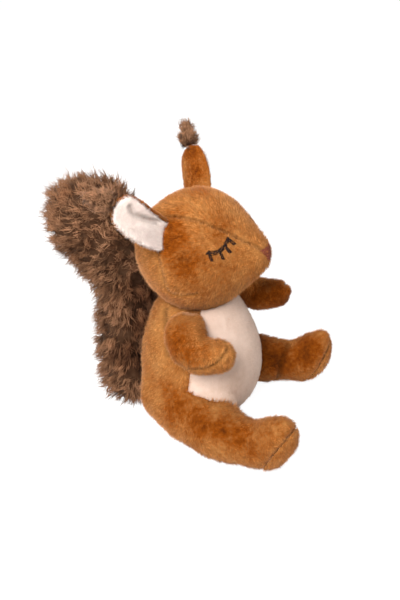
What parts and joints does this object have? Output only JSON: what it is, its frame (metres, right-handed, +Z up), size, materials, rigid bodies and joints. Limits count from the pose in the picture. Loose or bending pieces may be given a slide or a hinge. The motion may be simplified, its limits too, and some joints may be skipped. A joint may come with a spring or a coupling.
{
  "type": "plush squirrel",
  "caption": "Soft sitting squirrel toy with a short brown pile, a cream belly, pale ear linings, closed embroidered eyes and a shaggy upright tail.",
  "frame": {"origin": "on the floor under the middle of the body, on the flat underside it sits on", "axes": "+Z up, -Y the way the squirrel faces, +X its left side"},
  "size_m": [0.136, 0.1861, 0.1866],
  "materials": {
    "brown_plush": "short soft pile",
    "cream_plush": "very short smooth pile",
    "pale_pink_plush": "short soft pile",
    "grey_brown_fur": "long shaggy pile",
    "dark_brown_thread": "embroidery",
    "red_brown_thread": "embroidery"
  },
  "bodies": {
    "root": {"body_with_legs": "brown_plush", "belly_panel": "cream_plush", "right_sole": "brown_plush", "left_sole": "brown_plush", "head": "brown_plush", "right_ear": "brown_plush", "left_ear": "brown_plush", "right_ear_lining": "pale_pink_plush", "left_ear_lining": "pale_pink_plush", "right_ear_tuft": "grey_brown_fur", "left_ear_tuft": "grey_brown_fur", "right_eye": "dark_brown_thread", "left_eye": "dark_brown_thread", "nose": "red_brown_thread", "right_arm": "brown_plush", "left_arm": "brown_plush", "tail": "grey_brown_fur"}
  },
  "joints": []
}
